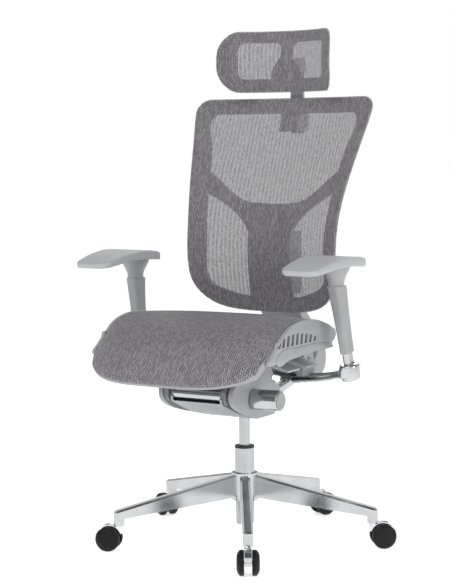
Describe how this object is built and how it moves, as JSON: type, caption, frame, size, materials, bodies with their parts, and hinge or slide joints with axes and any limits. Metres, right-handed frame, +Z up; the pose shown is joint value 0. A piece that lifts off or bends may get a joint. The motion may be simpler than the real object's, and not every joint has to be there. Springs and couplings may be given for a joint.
{
  "type": "ergonomic mesh office chair",
  "caption": "Height-adjustable swivel chair with woven mesh seat, back and headrest, polished metal yoke and star base on twin-wheel castors, and arched armrests.",
  "frame": {"origin": "on the floor, on the axis of the gas column", "axes": "+Z up; the sitter faces -Y; the sitter's left is +X"},
  "size_m": [0.7359, 0.7844, 1.2805],
  "materials": {
    "polished_aluminium": "polished",
    "bright_steel": "bright drawn",
    "castor_chrome": "chromed",
    "castor_black": "satin nylon",
    "black_plastic": "moulded",
    "painted_steel": "powder coat",
    "grey_plastic": "fine moulded texture",
    "mesh_fabric": "woven elastic mesh",
    "pad_polyurethane": "soft self-skinned foam"
  },
  "bodies": {
    "base": {"base_star": "polished_aluminium", "castor_sleeves": "black_plastic", "gas_outer_tube": "bright_steel", "gas_bush": "black_plastic"},
    "castor_0": {"castor_fork_0": "castor_chrome", "castor_pins_0": "castor_chrome"},
    "wheel_pair_0": {"castor_wheels_0": "castor_black"},
    "castor_1": {"castor_fork_1": "castor_chrome", "castor_pins_1": "castor_chrome"},
    "wheel_pair_1": {"castor_wheels_1": "castor_black"},
    "castor_2": {"castor_fork_2": "castor_chrome", "castor_pins_2": "castor_chrome"},
    "wheel_pair_2": {"castor_wheels_2": "castor_black"},
    "castor_3": {"castor_fork_3": "castor_chrome", "castor_pins_3": "castor_chrome"},
    "wheel_pair_3": {"castor_wheels_3": "castor_black"},
    "castor_4": {"castor_fork_4": "castor_chrome", "castor_pins_4": "castor_chrome"},
    "wheel_pair_4": {"castor_wheels_4": "castor_black"},
    "gas_piston": {"gas_piston_rod": "bright_steel"},
    "mechanism": {"gas_pressure_tube": "bright_steel", "mechanism_housing": "polished_aluminium", "mechanism_cover": "painted_steel", "front_bar": "polished_aluminium", "side_cover_left": "grey_plastic", "side_cover_right": "grey_plastic", "tilt_axle": "bright_steel", "tilt_springs": "bright_steel"},
    "tension_adjuster": {"tension_knob": "polished_aluminium", "tension_knob_cap": "grey_plastic"},
    "carrier": {"seat_carrier": "painted_steel"},
    "seat": {"seat_mesh": "mesh_fabric", "seat_frame": "grey_plastic", "seat_pan": "grey_plastic", "seat_side_left": "grey_plastic", "seat_side_right": "grey_plastic"},
    "height_control": {"height_lever": "grey_plastic"},
    "recline_control": {"recline_lever": "grey_plastic"},
    "back_support": {"yoke": "polished_aluminium", "arm_post_left": "polished_aluminium", "arm_post_right": "polished_aluminium", "link_brackets": "grey_plastic", "upright": "grey_plastic", "upright_bolts": "bright_steel"},
    "back": {"back_mesh": "mesh_fabric", "back_frame": "grey_plastic", "back_plate": "grey_plastic", "back_carriage": "grey_plastic", "headrest_guide": "grey_plastic"},
    "headrest_post": {"headrest_stem": "grey_plastic"},
    "headrest": {"headrest_mesh": "mesh_fabric", "headrest_frame": "grey_plastic", "headrest_bracket": "grey_plastic"},
    "armrest_left": {"arm_sleeve_left": "grey_plastic"},
    "armrest_top_left": {"arm_pad_left": "pad_polyurethane", "arm_pad_base_left": "grey_plastic"},
    "armrest_right": {"arm_sleeve_right": "grey_plastic"},
    "armrest_top_right": {"arm_pad_right": "pad_polyurethane", "arm_pad_base_right": "grey_plastic"}
  },
  "joints": [
    {"name": "castor_swivel_0", "type": "hinge", "parent": "base", "child": "castor_0", "pos_m": [0.17166, -0.28067, 0.0635], "axis": [0, 0, 1], "continuous": true},
    {"name": "wheel_roll_0", "type": "hinge", "parent": "castor_0", "child": "wheel_pair_0", "pos_m": [0.18431, -0.30223, 0.03], "axis": [0.8625, 0.506, 0], "continuous": true},
    {"name": "castor_swivel_1", "type": "hinge", "parent": "base", "child": "castor_1", "pos_m": [0.31998, 0.07652, 0.0635], "axis": [0, 0, 1], "continuous": true},
    {"name": "wheel_roll_1", "type": "hinge", "parent": "castor_1", "child": "wheel_pair_1", "pos_m": [0.33957, 0.09205, 0.03], "axis": [-0.6211, 0.7837, 0], "continuous": true},
    {"name": "castor_swivel_2", "type": "hinge", "parent": "base", "child": "castor_2", "pos_m": [0.0261, 0.32796, 0.0635], "axis": [0, 0, 1], "continuous": true},
    {"name": "wheel_roll_2", "type": "hinge", "parent": "castor_2", "child": "wheel_pair_2", "pos_m": [0.03826, 0.34981, 0.03], "axis": [-0.8738, 0.4863, 0], "continuous": true},
    {"name": "castor_swivel_3", "type": "hinge", "parent": "base", "child": "castor_3", "pos_m": [-0.30385, 0.12617, 0.0635], "axis": [0, 0, 1], "continuous": true},
    {"name": "wheel_roll_3", "type": "hinge", "parent": "castor_3", "child": "wheel_pair_3", "pos_m": [-0.32556, 0.13855, 0.03], "axis": [-0.4955, -0.8686, 0], "continuous": true},
    {"name": "castor_swivel_4", "type": "hinge", "parent": "base", "child": "castor_4", "pos_m": [-0.21389, -0.24999, 0.0635], "axis": [0, 0, 1], "continuous": true},
    {"name": "wheel_roll_4", "type": "hinge", "parent": "castor_4", "child": "wheel_pair_4", "pos_m": [-0.23754, -0.25809, 0.03], "axis": [0.3239, -0.9461, 0], "continuous": true},
    {"name": "seat_swivel", "type": "hinge", "parent": "base", "child": "gas_piston", "pos_m": [0, 0, 0.045], "axis": [0, 0, 1], "continuous": true},
    {"name": "gas_lift", "type": "slide", "parent": "gas_piston", "child": "mechanism", "axis": [0, 0, 1], "range_m": [-0.078, 0.022]},
    {"name": "tension_turn", "type": "hinge", "parent": "mechanism", "child": "tension_adjuster", "pos_m": [0.14, -0.133, 0.383], "axis": [1, 0, 0], "range_deg": [-720, 720]},
    {"name": "recline", "type": "hinge", "parent": "mechanism", "child": "back_support", "pos_m": [0, 0.04, 0.368], "axis": [-1, 0, 0], "range_deg": [0, 22], "stiffness_Nm_per_rad": 51, "springref_deg": -13.92},
    {"name": "seat_tilt", "type": "hinge", "parent": "mechanism", "child": "carrier", "pos_m": [0, -0.212, 0.397], "axis": [-1, 0, 0], "range_deg": [0, 9]},
    {"name": "seat_slide", "type": "slide", "parent": "carrier", "child": "seat", "axis": [0, 1, 0], "range_m": [-0.02, 0.03]},
    {"name": "height_lever_lift", "type": "hinge", "parent": "seat", "child": "height_control", "pos_m": [0.122, -0.114, 0.482], "axis": [0, -1, 0], "range_deg": [0, 7]},
    {"name": "recline_lever_lift", "type": "hinge", "parent": "seat", "child": "recline_control", "pos_m": [0.122, -0.022, 0.482], "axis": [0, -1, 0], "range_deg": [0, 7]},
    {"name": "back_height", "type": "slide", "parent": "back_support", "child": "back", "axis": [0, 0, 1], "range_m": [0, 0.05]},
    {"name": "headrest_height", "type": "slide", "parent": "back", "child": "headrest_post", "axis": [0, 0, 1], "range_m": [0, 0.04]},
    {"name": "headrest_tilt", "type": "hinge", "parent": "headrest_post", "child": "headrest", "pos_m": [0, 0.274, 1.196], "axis": [1, 0, 0], "range_deg": [-15, 15]},
    {"name": "armrest_height_left", "type": "slide", "parent": "back_support", "child": "armrest_left", "axis": [-0.06, -0.1984, 0.9783], "range_m": [-0.022, 0.05]},
    {"name": "pad_swivel_left", "type": "hinge", "parent": "armrest_left", "child": "armrest_top_left", "pos_m": [0.287, -0.053, 0.667], "axis": [0, 0, 1], "range_deg": [-20, 20]},
    {"name": "armrest_height_right", "type": "slide", "parent": "back_support", "child": "armrest_right", "axis": [0.06, -0.1984, 0.9783], "range_m": [-0.022, 0.05]},
    {"name": "pad_swivel_right", "type": "hinge", "parent": "armrest_right", "child": "armrest_top_right", "pos_m": [-0.287, -0.053, 0.667], "axis": [0, 0, 1], "range_deg": [-20, 20]}
  ],
  "couplings": [
    {"joint": "seat_tilt", "follows": "recline", "ratio": 0.4}
  ]
}
